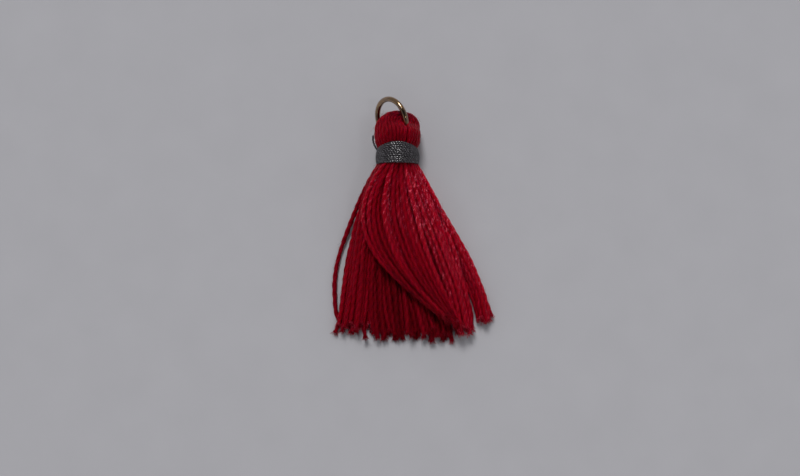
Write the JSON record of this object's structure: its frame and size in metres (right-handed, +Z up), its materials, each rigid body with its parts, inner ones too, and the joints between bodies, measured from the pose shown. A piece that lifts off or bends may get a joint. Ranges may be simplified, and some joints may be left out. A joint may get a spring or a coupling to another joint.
{
  "type": "yarn tassel with jump ring",
  "caption": "Small red yarn tassel lying flat: yarn folded over a jump ring, bound round the neck with grey thread, its cut ends fanned out.",
  "frame": {"origin": "on the surface that the tassel lies on, under the middle of its box", "axes": "+Y along the tassel from the fringe to the ring, +Z up from the surface"},
  "size_m": [0.0204, 0.0314, 0.0057],
  "materials": {
    "yarn": "twisted glossy yarn, deep red",
    "binding_thread": "wound thread with a slight lustre, mid grey",
    "ring_metal": "polished, pale gold"
  },
  "bodies": {
    "root": {"tassel": "yarn", "binding": "binding_thread", "jump_ring": "ring_metal"}
  },
  "joints": []
}
